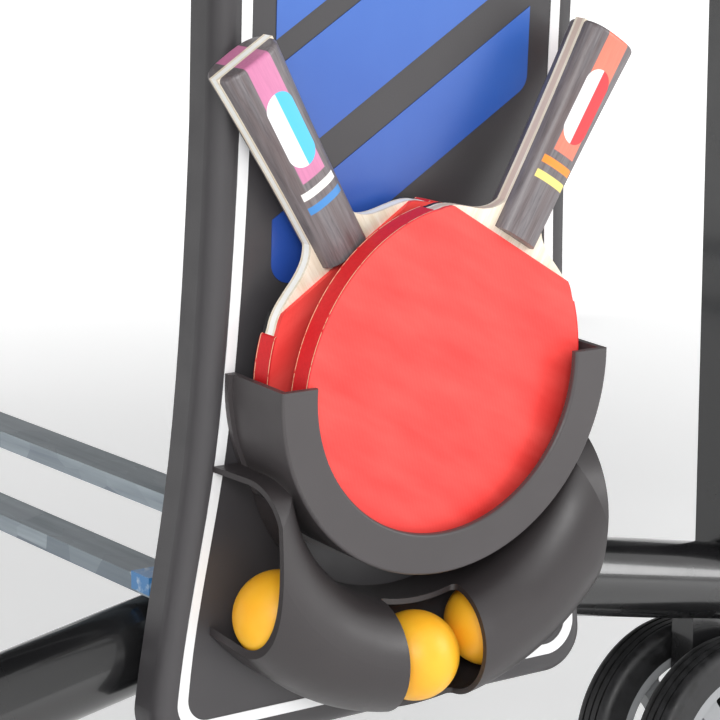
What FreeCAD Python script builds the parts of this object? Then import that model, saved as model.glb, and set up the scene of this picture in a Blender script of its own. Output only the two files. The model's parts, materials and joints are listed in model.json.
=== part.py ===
import FreeCAD, Part
import math
import os
import re

# Rollaway ping pong table: X runs along the table, Y across it, Z up, millimetres.
# The "near" side faces -Y. The far side is the near side turned half a turn about Z.

doc = FreeCAD.newDocument("ping_pong_table")
sizes = doc.addObject("Spreadsheet::Sheet", "sizes")
V3 = FreeCAD.Vector
ROW = [0]


def size(alias, value, meaning):
    """Adds one driving dimension to the sheet."""
    ROW[0] += 1
    row = str(ROW[0])
    sizes.set("A" + row, meaning)
    sizes.set("B" + row, str(value))
    sizes.setAlias("B" + row, alias)


# Tabletop halves
size("table_len", 2740, "length of the playing surface")
size("table_wid", 1525, "width of the playing surface")
size("table_top", 760, "height of the playing surface")
size("board_thk", 19, "thickness of a tabletop half")
size("mid_gap", 8, "gap between the halves under the net")
size("apron_tall", 40, "height of the apron under the board")
size("apron_thk", 12, "width of an apron member")
size("apron_inset", 12.5, "apron set back from the board's edge")
size("bearer_wid", 20, "width of a cross bearer")
size("bearer_tall", 30, "height of a cross bearer")
size("lug_thk", 4, "thickness of a pivot lug")
# Pivots
size("pivot_x", 260, "fold pivot from the table's middle")
size("pivot_drop", 40, "fold pivot below the playing surface")
size("pin_rad", 6, "radius of a pivot pin")
size("run_gap", 0.05, "radial running clearance")
size("side_gap", 0.5, "side clearance of a moving piece")
# Folding legs
size("leg_x", 1150, "leg from the table's middle")
size("leg_y", 600, "leg from the table's centre line")
size("leg_wid", 30, "side of a square leg tube")
size("leg_drop", 43, "leg pivot below the playing surface")
size("leg_bar_z", 600, "height of the bar between the legs")
size("foot_rad", 20, "radius of a levelling foot")
size("foot_tall", 12, "height of a levelling foot")
# Chassis
size("chassis_y", 658, "base tube from the table's centre line")
size("tube_rad", 20, "radius of the base tube")
size("tube_wall", 2, "wall of the base tube")
size("tube_half", 290, "half span of the base tube")
size("tube_slope", 11, "slope of the base tube's arms in degrees")
size("bend_rad", 262, "radius of the base tube's middle bend")
size("tube_z", 182, "height of the tube axis where its arms start")
size("post_wid", 30, "post size along the table")
size("post_dep", 34, "post size across the table")
size("post_wall", 2, "wall of a post")
size("gusset_tall", 40, "height of a post's gusset")
size("gusset_foot", 4, "reach of a post's gusset past the post")
size("beam_wid", 40, "width of the centre beam")
size("beam_tall", 20, "height of the centre beam")
size("beam_low", 447, "underside of the centre beam")
size("rail_x", 91, "cross rail from the table's middle")
size("rail_wid", 20, "width of a cross rail")
size("rail_tall", 8, "height of a cross rail")
size("rail_wall", 1.6, "sheet thickness of a cross rail")
size("rail_top", 245.6, "top of the upper cross rail")
size("rail_step", 41, "lower rail below the upper one")
size("rail_end", 12, "rail ends behind the tower's front")
size("clip_len", 34, "length of a rail clip")
size("clip_y", 52, "rail clip behind the tower front")
size("clip_wid", 15, "width of a rail clip")
size("clip_thk", 2, "thickness of a rail clip")
size("clip_lip", 6, "depth of a rail clip's lip")
# Double wheels
size("wheel_x", 237, "wheel axle from the table's middle")
size("wheel_rad", 60, "radius over the tyre")
size("rim_rad", 45, "radius of the rim")
size("tyre_wid", 22, "width of one tyre")
size("tab_thk", 16, "thickness of the wheel tab")
size("wheel_gap", 3, "gap between the tab and a wheel")
size("axle_rad", 6, "radius of the wheel axle")
size("hub_rad", 13, "radius of the wheel hub")
size("spoke_wid", 11, "width of a rim spoke")
size("groove_wid", 1.2, "width of a tread groove")
size("groove_dep", 0.9, "depth of a tread groove")
# Side tower
size("tower_y", 718, "tower front from the table's centre line")
size("tower_z", 405, "height of the tower's datum")
size("lean", 3, "lean of the tower's front in degrees")
size("shell_dep", 21, "depth of the tower shell")
size("shell_wall", 3, "wall of the tower shell")
size("shell_rnd", 9, "rounding of the shell's front edge")
size("shell_top", 85, "shell top above the datum")
size("shell_low", 272.5, "shell bottom below the datum")
size("shell_hw", 94, "half width of the shell at the datum")
size("shell_flare", 23, "extra half width of the shell at its bottom")
size("line_hw", 80.3, "half width to the outline's middle")
size("line_flare", 25.5, "extra half width of the outline at its bottom")
size("line_low", 258.3, "outline bottom below the datum")
size("line_wid", 5, "width of the outline")
size("inlay_thk", 0.4, "thickness of the inlays")
size("field_hw", 66, "half width of the coloured field")
size("field_slope", 32.4, "slope of the field's diagonals in degrees")
size("band_wid", 15.6, "width of the wide diagonal gap")
size("band_thin", 10, "width of the narrow diagonal gap")
size("frame_thk", 8, "thickness of the tower plate")
size("boss_rad", 6, "radius of a screw boss")
# Bat holder and ball tube
size("cup_z", 107.5, "bat holder centre below the datum")
size("cup_rad", 83, "inner radius of the bat holder")
size("cup_dep", 38, "inner depth of the bat holder")
size("cup_wall", 3, "wall of the bat holder")
size("lip_rad", 68, "inner radius of the holder's front lip")
size("flange_wid", 2, "width of the holder's flange")
size("ball_rad", 20, "radius of a ball")
size("ring_z", 137, "ball tube centre below the datum")
size("ring_rad", 98, "radius of the ball tube's path")
size("tube_in", 22.5, "inner radius of the ball tube")
size("ball_wall", 2.5, "wall of the ball tube")
size("ball_dep", 21.6, "ball centre in front of the tower")
size("window_hw", 20.6, "half width of the middle window")
size("mouth_front", 87, "half span of the ball tube at its front")
size("mouth_back", 93, "half span of the ball tube at the tower")
size("mouth_top", 143, "top of the ball tube's ends below the datum")
size("mouth_rnd_left", 24, "rounding of the left end's upper edge")
size("mouth_rnd_right", 40, "rounding of the right end's upper edge")
# Bats
size("head_hw", 74, "half width of a bat's head")
size("head_hh", 78.5, "half height of a bat's head")
size("cut_z", 67, "rubber's straight edge above the head centre")
size("bat_len", 168, "handle end above the head centre")
size("blade_thk", 6, "thickness of a blade")
size("rubber_thk", 2.2, "thickness of a rubber")
size("tape_thk", 0.6, "thickness of the edge tape")
size("grip_thk", 7.5, "thickness of a grip scale")
size("grip_rnd", 2, "rounding of the grip's end")
size("grip_low", 12, "half width of the grip at the blade")
size("grip_end", 15.5, "half width of the grip at its end")
size("front_tilt", 30.5, "tilt of the front bat in degrees")
size("rear_tilt", -32, "tilt of the rear bat in degrees")
size("front_shift", 3, "front bat's head centre along the table")
size("rear_shift", -4, "rear bat's head centre along the table")
size("bat_yaw", 3, "turn of the bats about the vertical in degrees")
size("front_dep", 28, "front bat's middle in front of the tower")
size("rear_dep", 11, "rear bat's middle in front of the tower")
size("rest_gap", 0.25, "gap between a resting piece and its seat")
size("ball_gap", 0.5, "gap between a ball and the ball tube")
# Net
size("net_over", 152.5, "net height and overhang past the table's side")
size("net_thk", 1.6, "thickness of the net")
size("net_tape", 14, "width of the net's top tape")
size("mast_rad", 9, "radius of the net post")
size("arm_z", 100, "net arm above the datum")
doc.recompute()


def val(alias):
    return float(sizes.get(alias))


def bind(text):
    """Turns bare aliases in an expression into sheet references."""
    return re.sub(r"[a-z]+_[a-z]+[a-z_]*|lean", lambda m: "sizes." + m.group(0), str(text))


def placed(obj, at, turn=None):
    if turn is not None:
        obj.Placement = FreeCAD.Placement(V3(0, 0, 0), turn)
    for name, text in zip("xyz", at):
        obj.setExpression("Placement.Base." + name, bind(text))
    return obj


def box(name, dims, at):
    """A Part::Box whose size and low corner are bound to the sheet."""
    obj = doc.addObject("Part::Box", name)
    for prop, text in zip(("Length", "Width", "Height"), dims):
        obj.setExpression(prop, bind(text))
    return placed(obj, at)


def rod_y(name, radius, length, at):
    """A Part::Cylinder along +Y from the given point."""
    obj = doc.addObject("Part::Cylinder", name)
    obj.setExpression("Radius", bind(radius))
    obj.setExpression("Height", bind(length))
    return placed(obj, at, FreeCAD.Rotation(V3(1, 0, 0), -90))


def rod_z(name, radius, length, at):
    obj = doc.addObject("Part::Cylinder", name)
    obj.setExpression("Radius", bind(radius))
    obj.setExpression("Height", bind(length))
    return placed(obj, at)


def fuse(name, parts):
    obj = doc.addObject("Part::MultiFuse", name)
    obj.Shapes = parts
    return obj


def cut(name, base, tools):
    tool = tools[0] if len(tools) == 1 else fuse(name + "_cutter", tools)
    obj = doc.addObject("Part::Cut", name)
    obj.Base, obj.Tool = base, tool
    return obj


def group(name, parts):
    obj = doc.addObject("Part::Compound", name)
    obj.Links = parts
    return obj


NODES = []


def node(label, obj, placement=None):
    """Registers an object as a sub-part."""
    obj.Label = label
    if placement is not None:
        obj.Placement = placement
    NODES.append(obj)
    return obj


def solid(label, shape, placement=None):
    """A sub-part whose curved shape is set directly."""
    obj = doc.addObject("Part::Feature", label)
    obj.Shape = shape
    return node(label, obj, placement)


def turned(rot_axis, degrees):
    return FreeCAD.Placement(V3(0, 0, 0), FreeCAD.Rotation(rot_axis, degrees))


HALF_TURN = turned(V3(0, 0, 1), 180)
TOWER = FreeCAD.Placement(V3(0, -val("tower_y"), val("tower_z")),
                          FreeCAD.Rotation(V3(1, 0, 0), val("lean")))
SIDES = (("near", -1, TOWER), ("far", 1, HALF_TURN.multiply(TOWER)))
ENDS = (("left", -1), ("right", 1))


def span(sign, low, high):
    """Low end of a run that lies between two distances on one side of the middle."""
    return low if sign > 0 else "-(%s)" % high


# ---------------------------------------------------------------- tabletop halves
BOARD_LOW = "table_top - board_thk"
APRON_LOW = "table_top - board_thk - apron_tall"
APRON_Y = "table_wid / 2 - apron_inset"
PIVOT_Z = "table_top - pivot_drop"
LEG_PIVOT_Z = "table_top - leg_drop"
for end, sx in ENDS:
    board_x = span(sx, "mid_gap / 2", "table_len / 2")
    node("board_" + end, box("board_" + end,
         ("table_len / 2 - mid_gap / 2", "table_wid", "board_thk"), (board_x, "-table_wid / 2", BOARD_LOW)))

    members = []
    for tag, sy in (("n", -1), ("f", 1)):
        members.append(box("side_%s_%s" % (end, tag),
                       ("table_len / 2 - mid_gap / 2 - apron_inset", "apron_thk", "apron_tall"),
                       (span(sx, "mid_gap / 2", "table_len / 2 - apron_inset"),
                        span(sy, APRON_Y + " - apron_thk", APRON_Y), APRON_LOW)))
        for post_side in (-1, 1):
            face = "chassis_y + %d * (post_dep / 2 + side_gap)" % post_side
            edge = span(sy, face, face + " + lug_thk") if post_side > 0 else span(
                sy, face + " - lug_thk", face)
            members.append(box("hinge_lug", ("53 + pin_rad * 2", "lug_thk", "35"),
                           (span(sx, "pivot_x - pin_rad * 2", "pivot_x + 53"), edge, BOARD_LOW + " - 35")))
            face = "leg_y + %d * (leg_wid / 2 + side_gap)" % post_side
            edge = span(sy, face, face + " + lug_thk") if post_side > 0 else span(
                sy, face + " - lug_thk", face)
            members.append(box("leg_lug", ("37", "lug_thk", "38"),
                           (span(sx, "leg_x - 15", "leg_x + 22"), edge, BOARD_LOW + " - 38")))
    members.append(box("end_" + end, ("apron_thk", "table_wid - apron_inset * 2", "apron_tall"),
                   (span(sx, "table_len / 2 - apron_inset - apron_thk", "table_len / 2 - apron_inset"),
                    "-table_wid / 2 + apron_inset", APRON_LOW)))
    for tag, where in (("in", "pivot_x + 53"), ("out", "leg_x + 22")):
        members.append(box("bearer_%s_%s" % (tag, end),
                       ("bearer_wid", "table_wid - apron_inset * 2 - 1", "bearer_tall"),
                       (span(sx, where, where + " + bearer_wid"),
                        "-table_wid / 2 + apron_inset + 0.5", BOARD_LOW + " - bearer_tall")))
    bores = [rod_y("pivot_bore", "pin_rad + run_gap", "table_wid - 60",
                   ("%d * pivot_x" % sx, "-table_wid / 2 + 30", PIVOT_Z)),
             rod_y("leg_bore", "pin_rad + run_gap", "table_wid - 60",
                   ("%d * leg_x" % sx, "-table_wid / 2 + 30", LEG_PIVOT_Z))]
    node("apron_" + end, cut("apron_" + end, fuse("apron_blank_" + end, members), bores))

    tubes, feet = [], []
    for tag, sy in (("n", -1), ("f", 1)):
        y_mid = "%d * leg_y" % sy
        tubes.append(box("leg_tube", ("leg_wid", "leg_wid", LEG_PIVOT_Z + " + leg_wid / 2 - foot_tall"),
                     ("%d * leg_x - leg_wid / 2" % sx, y_mid + " - leg_wid / 2", "foot_tall")))
        tubes.append(rod_y("leg_pin", "pin_rad", "leg_wid + lug_thk * 2 + side_gap * 4",
                     ("%d * leg_x" % sx, y_mid + " - leg_wid / 2 - lug_thk - side_gap * 2", LEG_PIVOT_Z)))
        feet.append(rod_z("foot", "foot_rad", "foot_tall", ("%d * leg_x" % sx, y_mid, "0")))
    tubes.append(box("leg_bar", ("leg_wid - 8", "leg_y * 2 - leg_wid + 1", "leg_wid - 8"),
                 ("%d * leg_x - leg_wid / 2 + 4" % sx, "-leg_y + leg_wid / 2 - 0.5", "leg_bar_z")))
    node("leg_frame_" + end, fuse("leg_frame_" + end, tubes))
    node("feet_" + end, group("feet_" + end, feet))


# ---------------------------------------------------------------- chassis
def tube_axis_z(x):
    """Height of the base tube's axis on its straight arms."""
    slope = math.radians(val("tube_slope"))
    start = val("bend_rad") * math.sin(slope)
    return val("tube_z") - (abs(x) - start) * math.tan(slope)


def tube_path(y):
    slope = math.radians(val("tube_slope"))
    bend = val("bend_rad")
    start = bend * math.sin(slope)
    crown = val("tube_z") + bend * (1 - math.cos(slope))
    end = val("tube_half")
    left, right = V3(-start, y, val("tube_z")), V3(start, y, val("tube_z"))
    return Part.Wire([Part.makeLine(V3(-end, y, tube_axis_z(end)), left),
                      Part.Arc(left, V3(0, y, crown), right).toShape(),
                      Part.makeLine(right, V3(end, y, tube_axis_z(end)))])


def swept_tube(path, radius):
    start = path.Vertexes[0].Point
    ring = Part.Wire(Part.makeCircle(radius, start, path.Edges[0].tangentAt(path.Edges[0].FirstParameter)))
    return path.makePipeShell([ring], True, True)


def solid_box(low, high):
    low, high = V3(*low), V3(*high)
    size_of = high - low
    return Part.makeBox(size_of.x, size_of.y, size_of.z, low)


def ring_y(outer_r, inner_r, centre, y_low, y_high):
    base = V3(centre.x, y_low, centre.z)
    length = y_high - y_low
    return Part.makeCylinder(outer_r, length, base, V3(0, 1, 0)).cut(
        Part.makeCylinder(inner_r, length, base, V3(0, 1, 0)))


PLATES = {}
for side, sy, tower in SIDES:
    y_mid = sy * val("chassis_y")
    path = tube_path(y_mid)
    outer = swept_tube(path, val("tube_rad"))
    tube = outer.cut(swept_tube(path, val("tube_rad") - val("tube_wall")))
    half_tab = val("tab_thk") / 2
    for sx in (-1, 1):
        x_mid = sx * val("wheel_x")
        blank = solid_box((x_mid - 15, y_mid - half_tab, val("wheel_rad")),
                          (x_mid + 15, y_mid + half_tab, tube_axis_z(x_mid)))
        round_end = Part.makeCylinder(15, 2 * half_tab, V3(x_mid, y_mid - half_tab, val("wheel_rad")), V3(0, 1, 0))
        bore = Part.makeCylinder(val("axle_rad") + val("run_gap"), 4 * half_tab,
                                 V3(x_mid, y_mid - 2 * half_tab, val("wheel_rad")), V3(0, 1, 0))
        tube = tube.fuse(blank.fuse(round_end).cut(bore).cut(outer))
    solid("base_tube_" + side, tube)

    caps = []
    for sx in (-1, 1):
        slope = math.radians(val("tube_slope"))
        out = V3(sx * math.cos(slope), 0, -math.sin(slope))
        end_point = V3(sx * val("tube_half"), y_mid, tube_axis_z(val("tube_half")))
        cap = Part.makeCylinder(val("tube_rad"), 4, end_point, out)
        plug = Part.makeCylinder(val("tube_rad") - val("tube_wall"), 12, end_point - out * 12, out)
        caps.append(cap.fuse(plug))
    solid("tube_caps_" + side, Part.makeCompound(caps))

    for end, sx in ENDS:
        x_mid = sx * val("pivot_x")
        half_w, half_d = val("post_wid") / 2, val("post_dep") / 2
        top = val("table_top") - val("pivot_drop") + 10
        blank = solid_box((x_mid - half_w, y_mid - half_d, tube_axis_z(x_mid)), (x_mid + half_w, y_mid + half_d, top))
        wall = val("post_wall")
        hollow = solid_box((x_mid - half_w + wall, y_mid - half_d + wall, 0),
                           (x_mid + half_w - wall, y_mid + half_d - wall, top - 40))
        pin_z = val("table_top") - val("pivot_drop")
        reach = half_d + val("lug_thk") + 2 * val("side_gap")
        pin = Part.makeCylinder(val("pin_rad"), 2 * reach, V3(x_mid, y_mid - reach, pin_z), V3(0, 1, 0))
        foot_z = tube_axis_z(x_mid) + val("tube_rad")
        reach, face = half_w + val("gusset_foot"), y_mid + sy * half_d
        corners = [V3(x_mid - reach, face, foot_z - 20), V3(x_mid + reach, face, foot_z - 20),
                   V3(x_mid + 3, face, foot_z + val("gusset_tall")), V3(x_mid - 3, face, foot_z + val("gusset_tall"))]
        gusset = Part.Face(Part.makePolygon(corners + corners[:1])).extrude(V3(0, sy * 3, 0))
        solid("post_%s_%s" % (side, end), blank.cut(hollow).fuse([pin, gusset]).cut(outer))

    # Plate that carries the tower, in the tower's own frame
    dep, thk = val("shell_dep"), val("frame_thk")
    foot_hw = val("rail_x") - val("rail_wid") / 2
    foot = solid_box((-foot_hw, dep, -232), (foot_hw, dep + thk, -140))
    column = solid_box((-30, dep, -141), (30, dep + thk, val("arm_z") + 14))
    near_tube = outer.copy()
    near_tube.Placement = tower.inverse().multiply(near_tube.Placement)
    plate = solid("tower_plate_" + side, foot.fuse(column).removeSplitter().cut(near_tube), tower)
    PLATES[side] = plate

def between_towers(shape, depth):
    """Trims a bar that runs across the table at a depth behind the towers' fronts."""
    for side, sy, tower in SIDES:
        outside = Part.makeBox(400, 400, 900, V3(-200, -400 + depth, -600))
        outside.Placement = tower.multiply(outside.Placement)
        shape = shape.cut(outside)
    return shape


RAIL_TOPS = {"upper": val("rail_top"), "lower": val("rail_top") - val("rail_step")}


for level, top in RAIL_TOPS.items():
    half, reach, low = val("rail_wid") / 2, val("tower_y"), top - val("rail_tall")
    block = solid_box((-val("rail_x") - half, -reach, low), (-val("rail_x") + half, reach, top))
    inside = half - val("rail_wall")
    channel = solid_box((-val("rail_x") - inside, -reach - 1, low - 1),
                        (-val("rail_x") + inside, reach + 1, top - val("rail_wall")))
    solid("rail_" + level, between_towers(block.cut(channel), val("rail_end")))

clips = []
for side, sy, tower in SIDES:
    low = RAIL_TOPS["lower"]
    left, thk = -val("rail_x") - val("rail_wid") / 2 - val("clip_thk"), val("clip_thk")
    y_low = sy * (val("tower_y") - val("clip_y")) - val("clip_wid") / 2
    arm = solid_box((left, y_low, low), (left + val("clip_len"), y_low + val("clip_wid"), low + thk))
    lip = solid_box((left, y_low, low - val("clip_lip")), (left + thk, y_low + val("clip_wid"), low))
    clips.append(arm.fuse(lip).removeSplitter())
solid("rail_clips", Part.makeCompound(clips))

half, wall = val("beam_wid") / 2, val("post_wall")
low, reach = val("beam_low"), val("tower_y")
beam = solid_box((-half, -reach, low), (half, reach, low + val("beam_tall")))
hollow = solid_box((-half + wall, -reach - 1, low + wall), (half - wall, reach + 1, low + val("beam_tall") - wall))
solid("centre_beam", between_towers(beam.cut(hollow), val("shell_dep") + val("frame_thk")))


# ---------------------------------------------------------------- double wheels
def rim_shape(y_mid, sign):
    """One rim: a dished disc with five windows between its spokes, turning about Y."""
    low = y_mid + sign * (val("tab_thk") / 2 + val("wheel_gap"))
    face = low if sign > 0 else low - val("tyre_wid")
    wide, rim = val("tyre_wid"), val("rim_rad")
    shape = Part.makeCylinder(rim, wide, V3(0, face, 0), V3(0, 1, 0))
    for start in (face, face + wide - 6):
        ring = Part.makeCylinder(rim - 5, 6, V3(0, start, 0), V3(0, 1, 0))
        hub = Part.makeCylinder(val("hub_rad"), 6, V3(0, start, 0), V3(0, 1, 0))
        shape = shape.cut(ring.cut(hub))
    spokes = []
    for step in range(5):
        spoke = solid_box((0, face - 2, -val("spoke_wid") / 2), (rim, face + wide + 2, val("spoke_wid") / 2))
        spoke.Placement = FreeCAD.Placement(V3(0, 0, 0), FreeCAD.Rotation(V3(0, 1, 0), 72 * step + 18))
        spokes.append(spoke)
    windows = ring_y(rim - 9, val("hub_rad") + 5, V3(0, 0, 0), face - 1, face + wide + 1).cut(Part.makeCompound(spokes))
    upright = [e for e in windows.Edges if e.Curve.TypeId == "Part::GeomLine" and abs(e.tangentAt(0).y) > 0.9]
    shape = shape.cut(windows.makeFillet(2.5, upright))
    return shape, face


for side, sy, tower in SIDES:
    for end, sx in ENDS:
        y_mid = sy * val("chassis_y")
        rims, tyres = [], []
        for sign in (-1, 1):
            rim, face = rim_shape(y_mid, sign)
            rims.append(rim)
            tyre = Part.makeCylinder(val("wheel_rad"), val("tyre_wid"), V3(0, face, 0), V3(0, 1, 0))
            tyre = tyre.makeFillet(5, [e for e in tyre.Edges if e.Curve.TypeId == "Part::GeomCircle"])
            hole = Part.makeCylinder(val("rim_rad"), val("tyre_wid"), V3(0, face, 0), V3(0, 1, 0))
            tyre = tyre.cut(hole)
            for share in (0.3, 0.5, 0.7):
                start = face + share * val("tyre_wid") - val("groove_wid") / 2
                tyre = tyre.cut(ring_y(val("wheel_rad") + 1, val("wheel_rad") - val("groove_dep"), V3(0, 0, 0),
                                       start, start + val("groove_wid")))
            tyres.append(tyre)
        half_axle = val("tab_thk") / 2 + val("wheel_gap") + 4
        axle = Part.makeCylinder(val("axle_rad"), 2 * half_axle, V3(0, y_mid - half_axle, 0), V3(0, 1, 0))
        at = FreeCAD.Placement(V3(sx * val("wheel_x"), 0, val("wheel_rad")), FreeCAD.Rotation())
        solid("wheel_%s_%s" % (side, end), rims[0].fuse([rims[1], axle]), at)
        solid("tyres_%s_%s" % (side, end), Part.makeCompound(tyres), at)


# ---------------------------------------------------------------- side towers
def smooth(points):
    curve = Part.BSplineCurve()
    curve.interpolate(points)
    return curve.toShape()


def outline_face(hw, flare, low, top, rnd):
    """Front outline of the tower: upright sides that flare towards a rounded bottom."""
    side = [V3(hw, 0, top), V3(hw, 0, 0), V3(hw + 0.18 * flare, 0, -0.37 * low), V3(hw + 0.41 * flare, 0, -0.58 * low),
            V3(hw + 0.78 * flare, 0, -0.785 * low), V3(hw + flare, 0, -(low - rnd))]
    corner_end = V3(hw + flare - rnd * 0.95, 0, -low)
    corner_mid = V3(hw + flare - rnd * 0.24, 0, -low + rnd * 0.27)
    right = [Part.makeLine(side[0], side[1]), smooth(side[1:]),
             Part.Arc(side[-1], corner_mid, corner_end).toShape()]
    mirror = [edge.mirror(V3(0, 0, 0), V3(1, 0, 0)) for edge in right]
    ends = [Part.makeLine(V3(-hw, 0, top), V3(hw, 0, top)),
            Part.makeLine(corner_end, V3(-corner_end.x, 0, -low))]
    return Part.Face(Part.Wire(Part.__sortEdges__(right + mirror + ends)))


def towards_front(face, front, back):
    """Extrudes a face in the plane y = 0 so it spans front..back along y."""
    moved = face.copy()
    moved.translate(V3(0, front, 0))
    return moved.extrude(V3(0, back - front, 0))


def shell_shape():
    face = outline_face(val("shell_hw"), val("shell_flare"), val("shell_low"), val("shell_top"), 22)
    body = towards_front(face, 0, val("shell_dep"))
    front_edges = [e for e in body.Edges if all(abs(v.Point.y) < 1e-6 for v in e.Vertexes)]
    body = body.makeFillet(val("shell_rnd"), front_edges)
    wall = val("shell_wall")
    inner = outline_face(val("shell_hw") - wall, val("shell_flare"), val("shell_low") - wall,
                         val("shell_top") - wall, 22 - wall)
    hollow = towards_front(inner, wall, val("shell_dep") + 1)
    hollow = hollow.makeFillet(val("shell_rnd") - wall, [
        e for e in hollow.Edges if all(abs(v.Point.y - wall) < 1e-6 for v in e.Vertexes)])
    shell = body.cut(hollow)
    for x, z in ((-20, 70), (20, 70), (-64, -185), (64, -185)):
        boss = Part.makeCylinder(val("boss_rad"), val("shell_dep") - 1, V3(x, 1, z), V3(0, 1, 0))
        shell = shell.fuse(boss)
    return shell


def line_shape():
    half = val("line_wid") / 2
    outer = outline_face(val("line_hw") + half, val("line_flare"), val("line_low") + half, val("shell_top") - 14 + half, 16)
    inner = outline_face(val("line_hw") - half, val("line_flare"), val("line_low") - half, val("shell_top") - 14 - half, 12)
    return towards_front(outer.cut(inner), -val("inlay_thk"), 0)


def field_shape():
    """Coloured field: a rounded panel crossed by two diagonal gaps and cut off on a diagonal."""
    hw, thick = val("field_hw"), val("inlay_thk")
    slope = math.tan(math.radians(val("field_slope")))
    top = val("shell_top") - 22
    low_at = lambda x: -33.5 + slope * x
    corners = [V3(-hw, 0, top), V3(hw, 0, top), V3(hw, 0, low_at(hw)), V3(-hw, 0, low_at(-hw))]
    panel = towards_front(Part.Face(Part.makePolygon(corners + corners[:1])), -thick, 0)
    panel = panel.makeFillet(9, [e for e in panel.Edges if abs(e.tangentAt(e.FirstParameter).y) > 0.9])
    for z_mid, gap in ((10.5, val("band_wid")), (70, val("band_thin"))):
        half = gap / 2 / math.cos(math.radians(val("field_slope")))
        strip = [V3(-2 * hw, 0, z_mid - 2 * hw * slope - half), V3(2 * hw, 0, z_mid + 2 * hw * slope - half),
                 V3(2 * hw, 0, z_mid + 2 * hw * slope + half), V3(-2 * hw, 0, z_mid - 2 * hw * slope + half)]
        panel = panel.cut(towards_front(Part.Face(Part.makePolygon(strip + strip[:1])), -thick - 1, 1))
    return panel


def holder_shape():
    """U-shaped bat holder: wall, front lip and a flange on the tower's face."""
    centre = V3(0, 0, -val("cup_z"))
    r_in, wall, deep = val("cup_rad"), val("cup_wall"), val("cup_dep")
    thick = val("inlay_thk")
    wall_ring = ring_y(r_in + wall, r_in, centre, -deep - wall, -thick)
    lip = ring_y(r_in + wall, val("lip_rad"), centre, -deep - wall, -deep)
    flange = ring_y(r_in + wall + val("flange_wid"), r_in + wall - 1, centre, -thick - 3, -thick)
    cup = wall_ring.fuse([lip, flange])
    upper = solid_box((-200, -100, centre.z + 4), (200, 10, 200))
    cup = cup.cut(upper)
    ridge = [e for e in cup.Edges if e.Curve.TypeId == "Part::GeomCircle"
             and abs(e.Vertexes[0].Point.y + deep + wall) < 1e-6]
    return cup.makeFillet(1.4, ridge)


def tube_body(radius):
    """Ring under the holder: round in front of its axis, with straight walls back to the tower."""
    centre = V3(0, -val("ball_dep"), -val("ring_z"))
    ring = val("ring_rad")
    torus = Part.makeTorus(ring, radius, centre, V3(0, 1, 0))
    front = torus.common(solid_box((-400, -200, -600), (400, centre.y, 400)))
    return front.fuse(ring_y(ring + radius, ring - radius, centre, centre.y, 10)).removeSplitter()


def mouth_block(sign, rounding, inset, extra):
    """Half of the block that bounds the ball tube: slanted end and rounded upper edge."""
    front = -val("ball_dep") - val("tube_in") - val("ball_wall") + inset
    back, top = -val("inlay_thk") + extra, -val("mouth_top") - inset
    near, far = val("mouth_front") + extra, val("mouth_back") + extra
    corners = [V3(0, front, top), V3(0, back, top), V3(sign * far, back, top), V3(sign * near, front, top)]
    block = Part.Face(Part.makePolygon(corners + corners[:1])).extrude(V3(0, 0, -val("shell_low")))
    edge = [e for e in block.Edges if all(abs(v.Point.y - front) < 1e-6 and abs(v.Point.z - top) < 1e-6
                                          for v in e.Vertexes)]
    return block.makeFillet(rounding - inset, edge)


def tube_side(sign, rounding):
    """Left or right half of the ball tube's wall, with a roof at its mouth."""
    wall = val("ball_wall")
    body = tube_body(val("tube_in") + wall).common(mouth_block(sign, rounding, 0, 0))
    return body.cut(tube_body(val("tube_in")).common(mouth_block(sign, rounding, wall, 10)))


def ball_tube_shape():
    """Half tube under the holder, open at both ends and in the middle."""
    tube = tube_side(-1, val("mouth_rnd_left")).fuse(tube_side(1, val("mouth_rnd_right")))
    half = val("window_hw")
    window = solid_box((-half, -100, -400), (half, -val("ball_dep"), -100))
    window = window.makeFillet(3, [e for e in window.Edges if abs(e.tangentAt(e.FirstParameter).z) > 0.9])
    keep_out = val("cup_rad") + val("cup_wall") + val("flange_wid") + val("rest_gap")
    holder = Part.makeCylinder(keep_out, 200, V3(0, -150, -val("cup_z")), V3(0, 1, 0))
    return tube.cut(window).cut(holder).removeSplitter()


for side, sy, tower in SIDES:
    solid("tower_shell_" + side, shell_shape(), tower)
    solid("outline_" + side, line_shape(), tower)
    solid("field_" + side, field_shape(), tower)
    solid("bat_holder_" + side, holder_shape(), tower)
    solid("ball_tube_" + side, ball_tube_shape(), tower)


# ---------------------------------------------------------------- bats and balls
def head_face(grow):
    """Bat head and its shoulders down to the grip, in the plane y = 0, handle up."""
    wide, tall, cut_z = val("head_hw") + grow, val("head_hh") + grow, val("cut_z")
    at = math.asin(0.8)
    shoulder = V3(wide * math.cos(at), 0, tall * math.sin(at))
    points = []
    for step in range(37):
        angle = at - (math.pi + 2 * at) * step / 36
        points.append(V3(wide * math.cos(angle), 0, tall * math.sin(angle)))
    bottom = smooth(points)
    grip = val("grip_low") + grow
    neck = V3(grip, 0, tall + 4)
    right = smooth([neck, V3(grip + 6, 0, tall - 3), V3((grip + 6 + shoulder.x) / 2, 0, (tall - 3 + shoulder.z) / 2 + 1),
                    shoulder])
    left = right.mirror(V3(0, 0, 0), V3(1, 0, 0))
    top = Part.makeLine(V3(-grip, 0, tall + 4), neck)
    return Part.Face(Part.Wire(Part.__sortEdges__([bottom, right, left, top])))


def thick_y(face, low, high):
    return towards_front(face, low, high)


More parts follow.
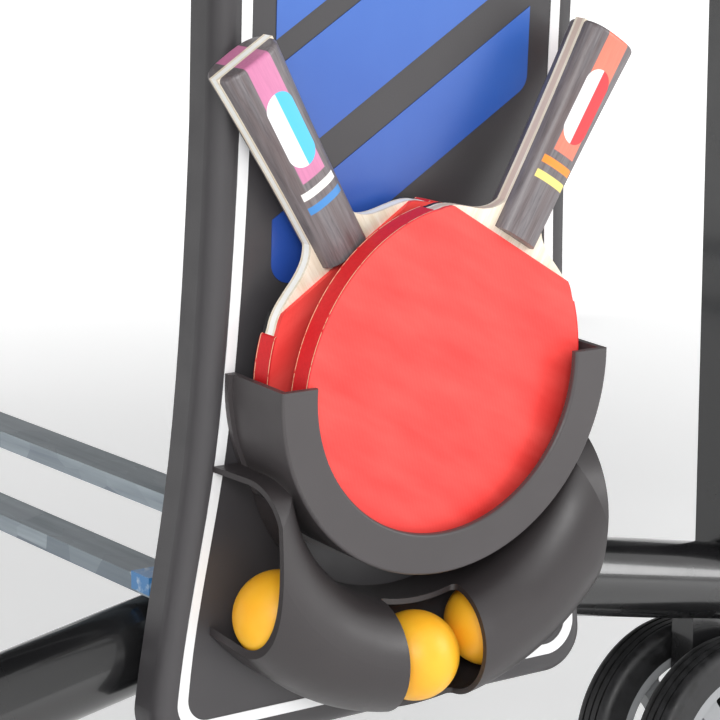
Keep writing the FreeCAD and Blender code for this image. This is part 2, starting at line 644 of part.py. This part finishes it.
def grip_face(grow):
    low, end = val("grip_low") + grow, val("grip_end") + grow
    z_low, z_end = val("cut_z"), val("bat_len")
    pts = [V3(-low, 0, z_low), V3(-low - 1, 0, (z_low + z_end) / 2), V3(-end, 0, z_end)]
    sides = smooth(pts)
    other = sides.mirror(V3(0, 0, 0), V3(1, 0, 0))
    return Part.Face(Part.Wire(Part.__sortEdges__([
        sides, other, Part.makeLine(V3(-low, 0, z_low), V3(low, 0, z_low)),
        Part.makeLine(V3(-end, 0, z_end), V3(end, 0, z_end))])))


def handle_shape():
    """Oval handle that widens towards its end."""
    deep = val("blade_thk") / 2 + val("grip_thk")
    z_low, z_end = val("cut_z"), val("bat_len")
    sections = []
    for z, wide, thick in ((z_low, val("grip_low"), deep), ((z_low + z_end) / 2, val("grip_low") + 1, deep + 0.3),
                           (z_end, val("grip_end"), deep + 1)):
        ring = []
        for step in range(24):
            angle = 2 * math.pi * (step + 0.5) / 24
            across, out = math.cos(angle), math.sin(angle)
            ring.append(V3(math.copysign(wide * abs(across) ** 0.72, across),
                           math.copysign(thick * abs(out) ** 0.72, out), z))
        curve = Part.BSplineCurve()
        curve.interpolate(Points=ring, PeriodicFlag=True)
        sections.append(Part.Wire([curve.toShape()]))
    handle = Part.makeLoft(sections, True)
    rim = [e for e in handle.Edges if all(abs(v.Point.z - z_end) < 1e-6 for v in e.Vertexes)
           and abs(e.CenterOfMass.z - z_end) < 1e-3]
    return handle.makeFillet(val("grip_rnd"), rim)


def seat_height(angle, shift):
    """Height of a tilted head's centre over the holder's centre once its rim touches the holder's wall."""
    wide, tall = val("head_hw") + val("tape_thk"), val("head_hh") + val("tape_thk")
    reach, height = val("cup_rad") - val("rest_gap"), -1000.0
    for step in range(361):
        turn = math.radians(step / 2 + 180)
        x, z = wide * math.cos(turn), tall * math.sin(turn)
        across, up = x * math.cos(angle) + z * math.sin(angle) + shift, z * math.cos(angle) - x * math.sin(angle)
        if up < 0 and abs(across) < reach:
            height = max(height, -up - math.sqrt(reach * reach - across * across))
    return height


def bat(name, tilt, depth, shift):
    """Places one bat's pieces, its head resting in the holder."""
    half, rub, tape = val("blade_thk") / 2, val("rubber_thk"), val("tape_thk")
    angle = math.radians(tilt)
    mid = V3(shift, -depth, -val("cup_z") + seat_height(angle, shift))
    at = TOWER.multiply(FreeCAD.Placement(mid, FreeCAD.Rotation(V3(0, 0, 1), val("bat_yaw"))).multiply(
        turned(V3(0, 1, 0), tilt)))
    cut_z = val("cut_z")
    below = solid_box((-200, -50, -200), (200, 50, cut_z))
    core = thick_y(head_face(0).fuse(grip_face(0)).removeSplitter(), -half, half)
    solid(name + "_blade", core, at)
    front = thick_y(head_face(0), -half - rub, -half).common(below)
    back = thick_y(head_face(0), half, half + rub).common(below)
    solid(name + "_rubber_front", front, at)
    solid(name + "_rubber_back", back, at)
    edge = thick_y(head_face(tape).cut(head_face(0)), -half - rub, half + rub).common(
        solid_box((-200, -50, -200), (200, 50, cut_z - 6)))
    solid(name + "_edge_tape", edge, at)
    handle = handle_shape().cut(solid_box((-50, -half, 0), (50, half, 300)))
    solid(name + "_grip", handle.cut(solid_box((-50, -50, 0), (50, 50, cut_z + 3))), at)


bat("front_bat", val("front_tilt"), val("front_dep"), val("front_shift"))
bat("rear_bat", val("rear_tilt"), val("rear_dep"), val("rear_shift"))

for name, degrees in (("left", -46), ("middle", 0), ("right", 24)):
    angle = math.radians(degrees)
    reach = val("ring_rad") + val("tube_in") - val("ball_rad") - val("ball_gap")
    at = TOWER.multiply(FreeCAD.Placement(
        V3(math.sin(angle) * reach, -val("ball_dep"), -val("ring_z") - math.cos(angle) * reach), FreeCAD.Rotation()))
    ball = doc.addObject("Part::Sphere", "ball_" + name)
    ball.setExpression("Radius", bind("ball_rad"))
    node("ball_" + name, ball, at)

# ---------------------------------------------------------------- net
net_top = val("table_top") + val("net_over")
net_end = val("table_wid") / 2 + val("net_over")
mast_r = val("mast_rad")
MASTS = []
for side, sy, tower in SIDES:
    arm_start = tower.multVec(V3(0, val("shell_dep") + 10, val("arm_z")))
    arm_z = arm_start.z
    corner_r = 40
    y_out = sy * net_end
    bend_mid = V3(0, y_out - sy * corner_r * (1 - math.sqrt(0.5)), arm_z + corner_r * (1 - math.sqrt(0.5)))
    path = Part.Wire([
        Part.makeLine(arm_start, V3(0, y_out - sy * corner_r, arm_z)),
        Part.Arc(V3(0, y_out - sy * corner_r, arm_z), bend_mid, V3(0, y_out, arm_z + corner_r)).toShape(),
        Part.makeLine(V3(0, y_out, arm_z + corner_r), V3(0, y_out, net_top + 4))])
    post = swept_tube(path, mast_r).cut(PLATES[side].Shape)
    behind = Part.makeBox(100, 200, 100, V3(-50, val("shell_dep"), val("arm_z") - 50))
    behind.Placement = tower.multiply(behind.Placement)
    MASTS.append(solid("net_post_" + side, post.cut(behind)))

half_t = val("net_thk") / 2
net_low = val("table_top") + 2
tape_z = net_top - val("net_tape")
run = net_end - mast_r + 2
posts = Part.makeCompound([mast.Shape for mast in MASTS])
solid("net", solid_box((-half_t, -run, net_low), (half_t, run, tape_z)).cut(posts))
solid("net_tape", solid_box((-half_t - 0.7, -run, tape_z), (half_t + 0.7, run, net_top)).cut(posts))

# ---------------------------------------------------------------- checks and export
doc.recompute()
os.makedirs("parts", exist_ok=True)
for obj in doc.Objects:
    bad = [flag for flag in obj.State if flag in ("Invalid", "Error")]
    if bad:
        raise RuntimeError("%s is %s" % (obj.Label, bad))
for obj in NODES:
    if obj.Shape.isNull() or not obj.Shape.isValid() or obj.Shape.Volume <= 0:
        raise RuntimeError("%s has no valid shape" % obj.Label)
    obj.Shape.exportStep("parts/%s.step" % obj.Label)
print("nodes:", len(NODES))
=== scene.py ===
import bpy
import json
import math
from mathutils import Euler, Matrix, Vector

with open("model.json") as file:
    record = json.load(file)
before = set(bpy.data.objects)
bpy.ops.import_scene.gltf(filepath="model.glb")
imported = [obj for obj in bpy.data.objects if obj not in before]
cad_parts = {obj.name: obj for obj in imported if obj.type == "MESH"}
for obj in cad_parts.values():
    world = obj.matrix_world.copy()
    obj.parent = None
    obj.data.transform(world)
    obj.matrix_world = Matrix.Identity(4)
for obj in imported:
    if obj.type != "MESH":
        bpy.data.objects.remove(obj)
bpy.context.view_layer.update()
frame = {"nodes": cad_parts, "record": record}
nodes = frame["nodes"]
scene = bpy.context.scene

# Frames of the near tower and of the two bats (metres)
TOWER_AT, LEAN = Vector((0, -0.718, 0.405)), math.radians(3)
TOWER = Matrix.Translation(TOWER_AT) @ Matrix.Rotation(LEAN, 4, "X")
FAR_TOWER = Matrix.Rotation(math.pi, 4, "Z") @ TOWER
FRONT_BAT = TOWER @ Matrix.Translation((0.003, -0.028, -0.11224)) @ Matrix.Rotation(
    math.radians(3), 4, "Z") @ Matrix.Rotation(math.radians(30.5), 4, "Y")
REAR_BAT = TOWER @ Matrix.Translation((-0.004, -0.011, -0.11239)) @ Matrix.Rotation(
    math.radians(3), 4, "Z") @ Matrix.Rotation(math.radians(-32), 4, "Y")


# ------------------------------------------------------------------ node helpers
class Look:
    """Builds one node material."""

    def __init__(self, name, local=None):
        self.mat = bpy.data.materials.new(name)
        self.mat.use_nodes = True
        self.tree = self.mat.node_tree
        self.bsdf = self.tree.nodes["Principled BSDF"]
        coord = self.tree.nodes.new("ShaderNodeTexCoord").outputs["Object"]
        if local is not None:
            mapping = self.tree.nodes.new("ShaderNodeMapping")
            mapping.vector_type = "TEXTURE"
            mapping.inputs["Location"].default_value = local.to_translation()
            mapping.inputs["Rotation"].default_value = local.to_euler("XYZ")
            self.link(coord, mapping.inputs["Vector"])
            coord = mapping.outputs[0]
        self.coord = coord
        split = self.tree.nodes.new("ShaderNodeSeparateXYZ")
        self.link(coord, split.inputs[0])
        self.x, self.y, self.z = split.outputs

    def link(self, a, b):
        self.tree.links.new(a, b)

    def put(self, sock, value):
        if hasattr(value, "links") or isinstance(value, bpy.types.NodeSocket):
            self.link(value, sock)
        elif isinstance(value, tuple) and len(value) == 3 and sock.type == "RGBA":
            sock.default_value = (*value, 1)
        else:
            sock.default_value = value

    def math(self, op, a, b=0.0, c=0.0, clamp=False):
        node = self.tree.nodes.new("ShaderNodeMath")
        node.operation, node.use_clamp = op, clamp
        for sock, value in zip(node.inputs, (a, b, c)):
            self.put(sock, value)
        return node.outputs[0]

    def scaled(self, sx, sy, sz):
        mapping = self.tree.nodes.new("ShaderNodeMapping")
        mapping.inputs["Scale"].default_value = (sx, sy, sz)
        self.link(self.coord, mapping.inputs["Vector"])
        return mapping.outputs[0]

    def noise(self, scale, detail=4.0, rough=0.5, distort=0.0, coord=None):
        node = self.tree.nodes.new("ShaderNodeTexNoise")
        self.put(node.inputs["Vector"], coord or self.coord)
        node.inputs["Scale"].default_value = scale
        node.inputs["Detail"].default_value = detail
        node.inputs["Roughness"].default_value = rough
        node.inputs["Distortion"].default_value = distort
        return node.outputs["Fac"]

    def cells(self, scale, feature="F1", coord=None, out="Distance"):
        node = self.tree.nodes.new("ShaderNodeTexVoronoi")
        node.feature = feature
        self.put(node.inputs["Vector"], coord or self.coord)
        node.inputs["Scale"].default_value = scale
        return node.outputs[out]

    def remap(self, value, low, high, to_low=0.0, to_high=1.0):
        node = self.tree.nodes.new("ShaderNodeMapRange")
        self.put(node.inputs["Value"], value)
        for name, number in (("From Min", low), ("From Max", high), ("To Min", to_low), ("To Max", to_high)):
            node.inputs[name].default_value = number
        return node.outputs["Result"]

    def mix(self, fac, a, b, kind="MIX"):
        node = self.tree.nodes.new("ShaderNodeMix")
        node.data_type, node.blend_type = "RGBA", kind
        self.put(node.inputs["Factor"], fac)
        for sock, value in ((node.inputs[6], a), (node.inputs[7], b)):
            self.put(sock, value)
        return node.outputs[2]

    def between(self, value, low, high, soft=0.0002):
        """1 where low < value < high."""
        up = self.remap(value, low - soft, low + soft)
        down = self.remap(value, high - soft, high + soft, 1.0, 0.0)
        return self.math("MULTIPLY", up, down)

    def bump(self, height, strength, distance, under=None):
        node = self.tree.nodes.new("ShaderNodeBump")
        node.inputs["Strength"].default_value = strength
        node.inputs["Distance"].default_value = distance
        self.put(node.inputs["Height"], height)
        if under is not None:
            self.link(under, node.inputs["Normal"])
        self.link(node.outputs[0], self.bsdf.inputs["Normal"])
        return node.outputs[0]

    def set(self, **values):
        names = {"color": "Base Color", "rough": "Roughness", "metal": "Metallic", "coat": "Coat Weight",
                 "coat_rough": "Coat Roughness", "specular": "Specular IOR Level", "sss": "Subsurface Weight",
                 "sheen": "Sheen Weight", "alpha": "Alpha", "glow": "Emission Strength"}
        for key, value in values.items():
            self.put(self.bsdf.inputs[names[key]], value)
        return self


def srgb(r, g, b):
    return tuple((c / 255 / 12.92) if c / 255 <= 0.04045 else ((c / 255 + 0.055) / 1.055) ** 2.4 for c in (r, g, b))


# ------------------------------------------------------------------ materials
def grained_plastic(name, tone, grain=1500, rough=0.42, depth=0.00012, spec=0.5):
    m = Look(name)
    fine = m.noise(grain, 3, 0.6)
    wide = m.noise(6, 3)
    dark, light = tuple(c * 0.86 for c in tone), tuple(min(1, c * 1.14) for c in tone)
    m.set(color=m.mix(m.remap(wide, 0.3, 0.7), dark, light), specular=spec,
          rough=m.remap(m.noise(60, 4), 0.3, 0.7, rough - 0.05, rough + 0.07))
    m.bump(fine, 0.35, depth)
    return m.mat


def coated_steel(name, tone, rough=0.18, coat=0.6):
    m = Look(name)
    peel = m.noise(420, 2, 0.4)
    m.set(color=m.mix(m.noise(9, 4), tuple(c * 0.8 for c in tone), tuple(c * 1.25 for c in tone)),
          rough=m.remap(m.noise(35, 5), 0.3, 0.7, rough, rough + 0.12), coat=coat, coat_rough=0.08)
    m.bump(peel, 0.12, 0.0002)
    return m.mat


def galvanised():
    m = Look("galvanised")
    spangle = m.cells(90, out="Color", coord=m.scaled(1, 0.45, 1))
    grey = m.tree.nodes.new("ShaderNodeRGBToBW")
    m.link(spangle, grey.inputs[0])
    streak = m.noise(30, 5, 0.6, coord=m.scaled(6, 0.25, 6))
    base = m.mix(m.remap(grey.outputs[0], 0.2, 0.8), srgb(128, 138, 146), srgb(176, 186, 192))
    m.set(color=m.mix(m.remap(streak, 0.35, 0.7, 0, 0.5), base, srgb(92, 104, 118)), metal=0.85,
          rough=m.remap(grey.outputs[0], 0, 1, 0.3, 0.48))
    m.bump(streak, 0.15, 0.0003)
    return m.mat


def tabletop():
    m = Look("tabletop")
    ax, ay = m.math("ABSOLUTE", m.x), m.math("ABSOLUTE", m.y)
    side = m.remap(ay, 0.7423, 0.7427)
    back = m.remap(ax, 1.3498, 1.3502)
    middle = m.remap(ay, 0.0014, 0.0017, 1, 0)
    lines = m.math("MAXIMUM", m.math("MAXIMUM", side, back), middle)
    lines = m.math("MULTIPLY", lines, m.remap(m.z, 0.7588, 0.7594))
    cloud = m.noise(14, 6, 0.55)
    blue = m.mix(m.remap(cloud, 0.35, 0.65), srgb(26, 66, 140), srgb(34, 78, 156))
    edge = m.remap(m.z, 0.7585, 0.7592)
    paint = m.mix(lines, blue, srgb(236, 238, 238))
    m.set(color=m.mix(edge, srgb(34, 36, 40), paint), rough=m.remap(m.noise(240, 4), 0.3, 0.7, 0.36, 0.5))
    m.bump(m.noise(1300, 3), 0.2, 0.0001)
    return m.mat


def white_trim():
    m = Look("white_trim")
    m.set(color=m.mix(m.noise(40, 3), srgb(236, 237, 238), srgb(252, 252, 252)), rough=m.remap(
        m.noise(300, 3), 0.3, 0.7, 0.3, 0.42), coat=0.2)
    m.bump(m.noise(900, 2), 0.1, 0.00005)
    return m.mat


def blue_trim():
    m = Look("blue_trim", TOWER)
    fade = m.remap(m.z, -0.08, 0.07)
    cloud = m.noise(25, 4)
    blue = m.mix(fade, srgb(30, 62, 150), srgb(52, 100, 182))
    m.set(color=m.mix(m.remap(cloud, 0.3, 0.7, 0, 0.14), blue, srgb(80, 125, 205)),
          rough=m.remap(m.noise(320, 3), 0.3, 0.7, 0.3, 0.42), coat=0.25, coat_rough=0.2)
    m.bump(m.noise(1100, 2), 0.12, 0.00006)
    return m.mat


def rubber(name, local, tone_low, tone_high):
    m = Look(name, local)
    weave = m.math("SINE", m.math("MULTIPLY", m.x, 2600))
    cross = m.math("SINE", m.math("MULTIPLY", m.z, 2600))
    dots = m.math("MULTIPLY", weave, cross)
    ripple = m.noise(60, 4, 0.5, coord=m.scaled(0.4, 1, 1.6))
    m.set(color=m.mix(m.remap(ripple, 0.3, 0.7), tone_low, tone_high), rough=m.remap(ripple, 0.3, 0.7, 0.42, 0.55),
          specular=0.35)
    first = m.bump(dots, 0.12, 0.0001)
    m.bump(m.noise(900, 3), 0.15, 0.0001, first)
    return m.mat


def edge_tape(name, local):
    m = Look(name, local)
    off = m.math("ABSOLUTE", m.y)
    rim = m.between(off, 0.00455, 0.0049, 0.0001)
    fibre = m.noise(700, 4, 0.7)
    red = m.mix(fibre, srgb(196, 20, 28), srgb(232, 38, 42))
    cream = m.mix(fibre, srgb(240, 190, 130), srgb(252, 236, 206))
    m.set(color=m.mix(m.math("MULTIPLY", rim, m.remap(m.noise(500, 2), 0.3, 0.45)), red, cream), rough=0.5)
    m.bump(fibre, 0.25, 0.0001)
    return m.mat


def blade_wood(name, local, core):
    """Pale ply with grain along the handle; the edge shows its layers."""
    m = Look(name, local)
    grain = m.noise(55, 6, 0.6, 0.4, m.scaled(6, 6, 0.5))
    fine = m.noise(260, 5, 0.6, 0.2, m.scaled(5, 5, 0.3))
    face = m.mix(m.remap(grain, 0.35, 0.7), srgb(246, 238, 222), srgb(228, 212, 186))
    face = m.mix(m.remap(fine, 0.45, 0.75, 0, 0.4), face, srgb(206, 184, 152))
    layer = m.between(m.math("ABSOLUTE", m.y), -0.001, 0.0016, 0.0002)
    ply = m.mix(fine, core, tuple(min(1, c * 1.15) for c in core))
    m.set(color=m.mix(layer, face, ply), rough=m.remap(fine, 0.3, 0.7, 0.42, 0.58), coat=0.12)
    m.bump(fine, 0.2, 0.00015)
    return m.mat


def grip_wood(name, local, stripe, badge_left, badge_right, bars):
    """Grey laminated grip: a coloured centre lamination, a bare oval badge and two short cross bars."""
    m = Look(name, local)
    grain = m.noise(120, 7, 0.65, 0.6, m.scaled(7, 7, 0.45))
    streak = m.noise(40, 4, 0.5, 0.2, m.scaled(9, 9, 0.3))
    wood = m.mix(m.remap(grain, 0.3, 0.7), srgb(78, 74, 78), srgb(128, 122, 124))
    wood = m.mix(m.remap(streak, 0.4, 0.7, 0, 0.6), wood, srgb(92, 74, 72))
    across = m.math("ABSOLUTE", m.x)
    centre = m.math("MULTIPLY", m.remap(across, 0.0062, 0.0065, 1, 0), m.remap(m.z, 0.1105, 0.111))
    lam = m.mix(m.remap(grain, 0.3, 0.7, 0, 0.5), stripe, tuple(c * 0.72 for c in stripe))
    color = m.mix(centre, wood, lam)
    top = m.remap(m.math("ABSOLUTE", m.y), 0.0035, 0.0038)
    run = m.math("MAXIMUM", m.math("SUBTRACT", m.math("ABSOLUTE", m.math("SUBTRACT", m.z, 0.134)), 0.0105), 0.0)
    reach = m.math("SQRT", m.math("ADD", m.math("MULTIPLY", run, run), m.math("MULTIPLY", m.x, m.x)))
    badge = m.math("MULTIPLY", m.remap(reach, 0.0069, 0.0071, 1, 0), top)
    lens = m.mix(m.remap(m.x, -0.0002, 0.0002), badge_left, badge_right)
    color = m.mix(badge, color, lens)
    for low, tone in zip((0.1035, 0.0965), bars):
        bar = m.math("MULTIPLY", m.between(m.z, low, low + 0.0035), m.remap(across, 0.0088, 0.009, 1, 0))
        color = m.mix(m.math("MULTIPLY", bar, top), color, tone)
    m.set(color=color, rough=m.remap(grain, 0.3, 0.7, 0.36, 0.52), coat=0.25, coat_rough=0.25)
    m.bump(m.math("MULTIPLY", grain, m.math("SUBTRACT", 1.0, badge)), 0.22, 0.0002)
    return m.mat


def ball_look():
    m = Look("ball")
    speck = m.noise(900, 2)
    cloud = m.noise(45, 3)
    m.set(color=m.mix(m.remap(cloud, 0.3, 0.7), srgb(252, 176, 30), srgb(255, 190, 48)), rough=m.remap(
        speck, 0.3, 0.7, 0.38, 0.5), sss=0.25)
    m.bsdf.inputs["Subsurface Radius"].default_value = (0.012, 0.006, 0.002)
    m.bsdf.inputs["Subsurface Scale"].default_value = 1.0
    m.bump(speck, 0.12, 0.00006)
    return m.mat


def tyre_look():
    m = Look("tyre")
    dust = m.noise(180, 5)
    m.set(color=m.mix(m.remap(dust, 0.4, 0.8), srgb(20, 20, 21), srgb(40, 40, 42)), rough=m.remap(
        dust, 0.3, 0.7, 0.4, 0.6))
    m.bump(m.noise(700, 3), 0.25, 0.0002)
    return m.mat


def clip_look():
    """Blue moulding with random pale patches of painted highlight."""
    m = Look("clip", TOWER)
    pale_highlight_noise = m.noise(220, 4)
    # the pale colour laid over the blue where the noise runs high is painted highlight
    m.set(color=m.mix(m.remap(pale_highlight_noise, 0.55, 0.75), srgb(62, 128, 186), srgb(196, 212, 224)), rough=m.remap(
        pale_highlight_noise, 0.3, 0.7, 0.3, 0.45), coat=0.2)
    m.bump(m.noise(900, 2), 0.15, 0.00008)
    return m.mat


def net_look():
    m = Look("net")
    step = 2 * math.pi / 0.0125
    across = m.math("ABSOLUTE", m.math("SINE", m.math("MULTIPLY", m.y, step / 2)))
    up = m.math("ABSOLUTE", m.math("SINE", m.math("MULTIPLY", m.math("SUBTRACT", m.z, 0.762), step / 2)))
    knot = m.math("MINIMUM", across, up)
    cord = m.remap(knot, 0.16, 0.24, 1, 0)
    m.set(color=m.mix(m.noise(600, 3), srgb(28, 36, 58), srgb(44, 54, 84)), alpha=cord, rough=0.7, sheen=0.3)
    m.bump(knot, 0.6, 0.0006)
    return m.mat


def tape_cloth():
    m = Look("net_tape")
    warp = m.math("SINE", m.math("MULTIPLY", m.y, 7000))
    weft = m.math("SINE", m.math("MULTIPLY", m.z, 7000))
    m.set(color=m.mix(m.noise(300, 4), srgb(226, 226, 222), srgb(246, 246, 243)), rough=0.75, sheen=0.2)
    m.bump(m.math("MULTIPLY", warp, weft), 0.35, 0.0002)
    return m.mat


SHELL = grained_plastic("shell_plastic", srgb(60, 58, 60), 1500, 0.4)
HOLDER = grained_plastic("holder_plastic", srgb(66, 62, 63), 1700, 0.44)
TUBE = grained_plastic("ball_tube_plastic", srgb(48, 44, 45), 1700, 0.4)
BLACK_STEEL = coated_steel("black_steel", srgb(24, 24, 25))
GREY_STEEL = coated_steel("apron_steel", srgb(46, 48, 52), 0.3, 0.3)
SMALL_PLASTIC = grained_plastic("cap_plastic", srgb(28, 28, 29), 1200, 0.5)
RIM = grained_plastic("rim_plastic", srgb(150, 152, 154), 800, 0.34)
LOOKS = {
    "tabletop": tabletop(), "grey_steel": GREY_STEEL, "black_plastic": SMALL_PLASTIC, "galvanised": galvanised(),
    "black_steel": BLACK_STEEL, "grey_plastic": RIM, "tyre": tyre_look(), "charcoal_plastic": SHELL,
    "white_trim": white_trim(), "blue_trim": blue_trim(), "ball": ball_look(), "net": net_look(),
    "net_tape": tape_cloth(), "rail_clips": clip_look()}
RED_LOW, RED_HIGH = srgb(232, 60, 56), srgb(244, 80, 74)
for name, at in (("front_bat", FRONT_BAT), ("rear_bat", REAR_BAT)):
    LOOKS[name + "_rubber_front"] = rubber(name + "_rubber", at, RED_LOW, RED_HIGH)
    LOOKS[name + "_rubber_back"] = rubber(name + "_back", at, srgb(26, 26, 27), srgb(40, 40, 41))
    LOOKS[name + "_edge_tape"] = edge_tape(name + "_tape", at)
LOOKS["front_bat_blade"] = blade_wood("front_blade", FRONT_BAT, srgb(206, 184, 168))
LOOKS["rear_bat_blade"] = blade_wood("rear_blade", REAR_BAT, srgb(246, 244, 238))
BADGE = srgb(238, 236, 238)
LOOKS["front_bat_grip"] = grip_wood("front_grip", FRONT_BAT, srgb(236, 124, 100), BADGE, srgb(214, 42, 50),
                                    (srgb(240, 140, 40), srgb(246, 222, 120)))
LOOKS["rear_bat_grip"] = grip_wood("rear_grip", REAR_BAT, srgb(206, 124, 164), BADGE, srgb(70, 184, 226),
                                   (srgb(244, 242, 236), srgb(58, 130, 196)))

slots = {s["node"]: s["material_slot"] for s in frame["record"]["subparts"]}
for name, obj in nodes.items():
    look = LOOKS.get(name) or LOOKS.get(slots[name])
    if name.startswith("bat_holder"):
        look = HOLDER
    if name.startswith("ball_tube"):
        look = TUBE
    obj.data.materials.clear()
    obj.data.materials.append(look)
    obj.data.shade_smooth()
    obj.data.set_sharp_from_angle(angle=math.radians(32))

# ------------------------------------------------------------------ stage, light, camera
floor_mesh = bpy.data.meshes.new("floor")
floor_mesh.from_pydata([(-9, -9, 0), (9, -9, 0), (9, 9, 0), (-9, 9, 0)], [], [(0, 1, 2, 3)])
floor = bpy.data.objects.new("floor", floor_mesh)
scene.collection.objects.link(floor)
ground = Look("ground")
ground.set(color=ground.mix(ground.noise(2, 3), (0.93, 0.93, 0.93), (0.96, 0.96, 0.96)), rough=0.55)
path = ground.tree.nodes.new("ShaderNodeLightPath").outputs
seen = ground.math("ADD", path["Is Camera Ray"], ground.math(
    "ADD", path["Is Glossy Ray"], path["Is Transmission Ray"]), clamp=True)
ground.bsdf.inputs["Emission Color"].default_value = (1, 1, 1, 1)
ground.set(glow=ground.math("MULTIPLY", seen, 0.28))
floor_mesh.materials.append(ground.mat)

world = bpy.data.worlds.new("sky")
scene.world = world
world.use_nodes = True
world.node_tree.nodes["Background"].inputs[0].default_value = (1, 1, 1, 1)
world.node_tree.nodes["Background"].inputs[1].default_value = 1.0


def area(name, at, aim, wide, tall, power, color=(1, 1, 1)):
    data = bpy.data.lights.new(name, "AREA")
    data.shape, data.size, data.size_y, data.energy, data.color = "RECTANGLE", wide, tall, power, color
    lamp = bpy.data.objects.new(name, data)
    lamp.location = at
    lamp.rotation_euler = (Vector(aim) - Vector(at)).to_track_quat("-Z", "Y").to_euler()
    scene.collection.objects.link(lamp)
    return lamp


area("key", (-1.6, -3.0, 1.5), (0, -0.72, 0.35), 1.2, 0.9, 40)
area("fill", (2.2, -2.6, 1.2), (0, -0.72, 0.3), 1.0, 1.4, 30)

camera_data = bpy.data.cameras.new("camera")
camera = bpy.data.objects.new("camera", camera_data)
scene.collection.objects.link(camera)
scene.camera = camera
camera_data.sensor_width, camera_data.lens = 36, 130
camera_data.clip_start, camera_data.clip_end = 0.05, 60
camera.location = (-0.652, -1.6101, 0.5177)
aim_dir = Vector((0.5653, 0.8015, -0.1950))
camera.rotation_euler = aim_dir.to_track_quat("-Z", "Y").to_euler()

scene.view_settings.view_transform = "Standard"
scene.view_settings.look = "None"
scene.view_settings.exposure = 0
scene.view_settings.gamma = 1
